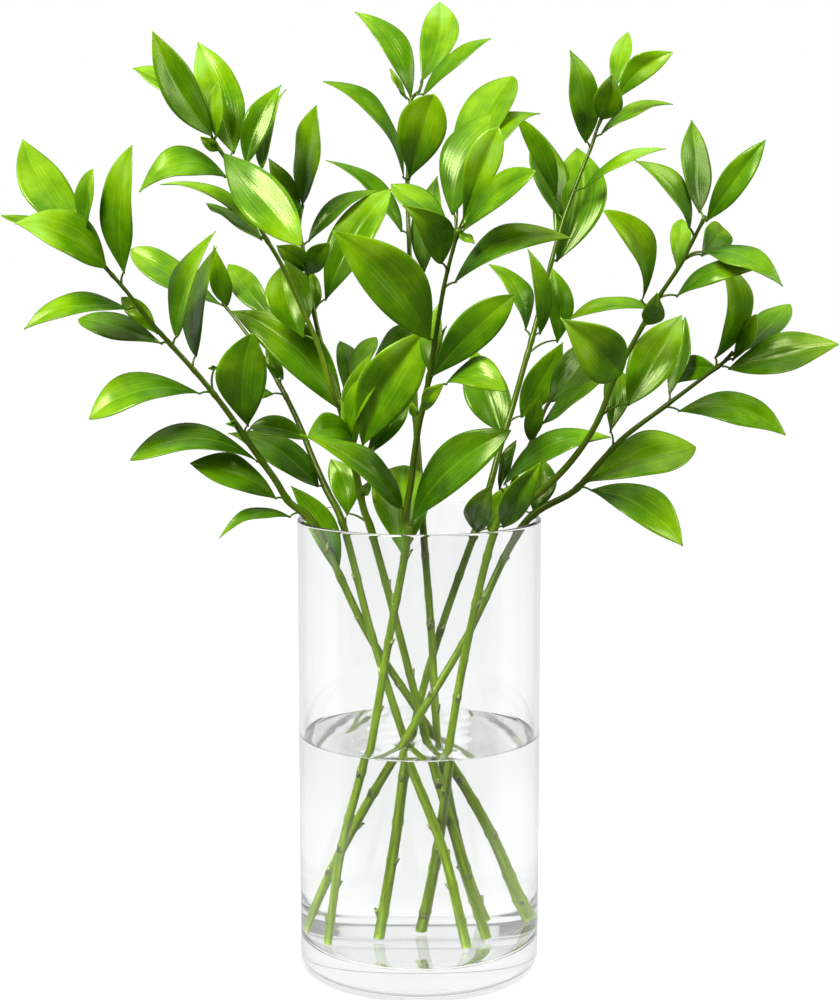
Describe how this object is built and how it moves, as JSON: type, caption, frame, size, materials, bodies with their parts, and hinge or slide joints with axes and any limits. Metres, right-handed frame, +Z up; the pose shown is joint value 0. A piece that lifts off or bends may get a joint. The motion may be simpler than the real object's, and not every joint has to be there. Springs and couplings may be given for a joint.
{
  "type": "ruscus stems in a glass vase",
  "caption": "Fresh leafy ruscus stems spreading from a clear glass cylinder vase with a thick base, part filled with water.",
  "frame": {"origin": "middle of the vase's underside, on the surface that the vase stands on", "axes": "+Z up along the vase's axis, +X to the right and -Y towards someone who faces the bunch's front"},
  "size_m": [0.4576, 0.2598, 0.5666],
  "materials": {
    "glass": "clear polished glass",
    "water": "still clear water",
    "ruscus": "fresh green leaf and stem with a smooth waxy gloss"
  },
  "bodies": {
    "root": {"vase": "glass", "water": "water", "ruscus_stem_1": "ruscus", "ruscus_stem_2": "ruscus", "ruscus_stem_3": "ruscus", "ruscus_stem_4": "ruscus", "ruscus_stem_5": "ruscus", "ruscus_stem_6": "ruscus", "ruscus_stem_7": "ruscus", "ruscus_stem_8": "ruscus"}
  },
  "joints": []
}
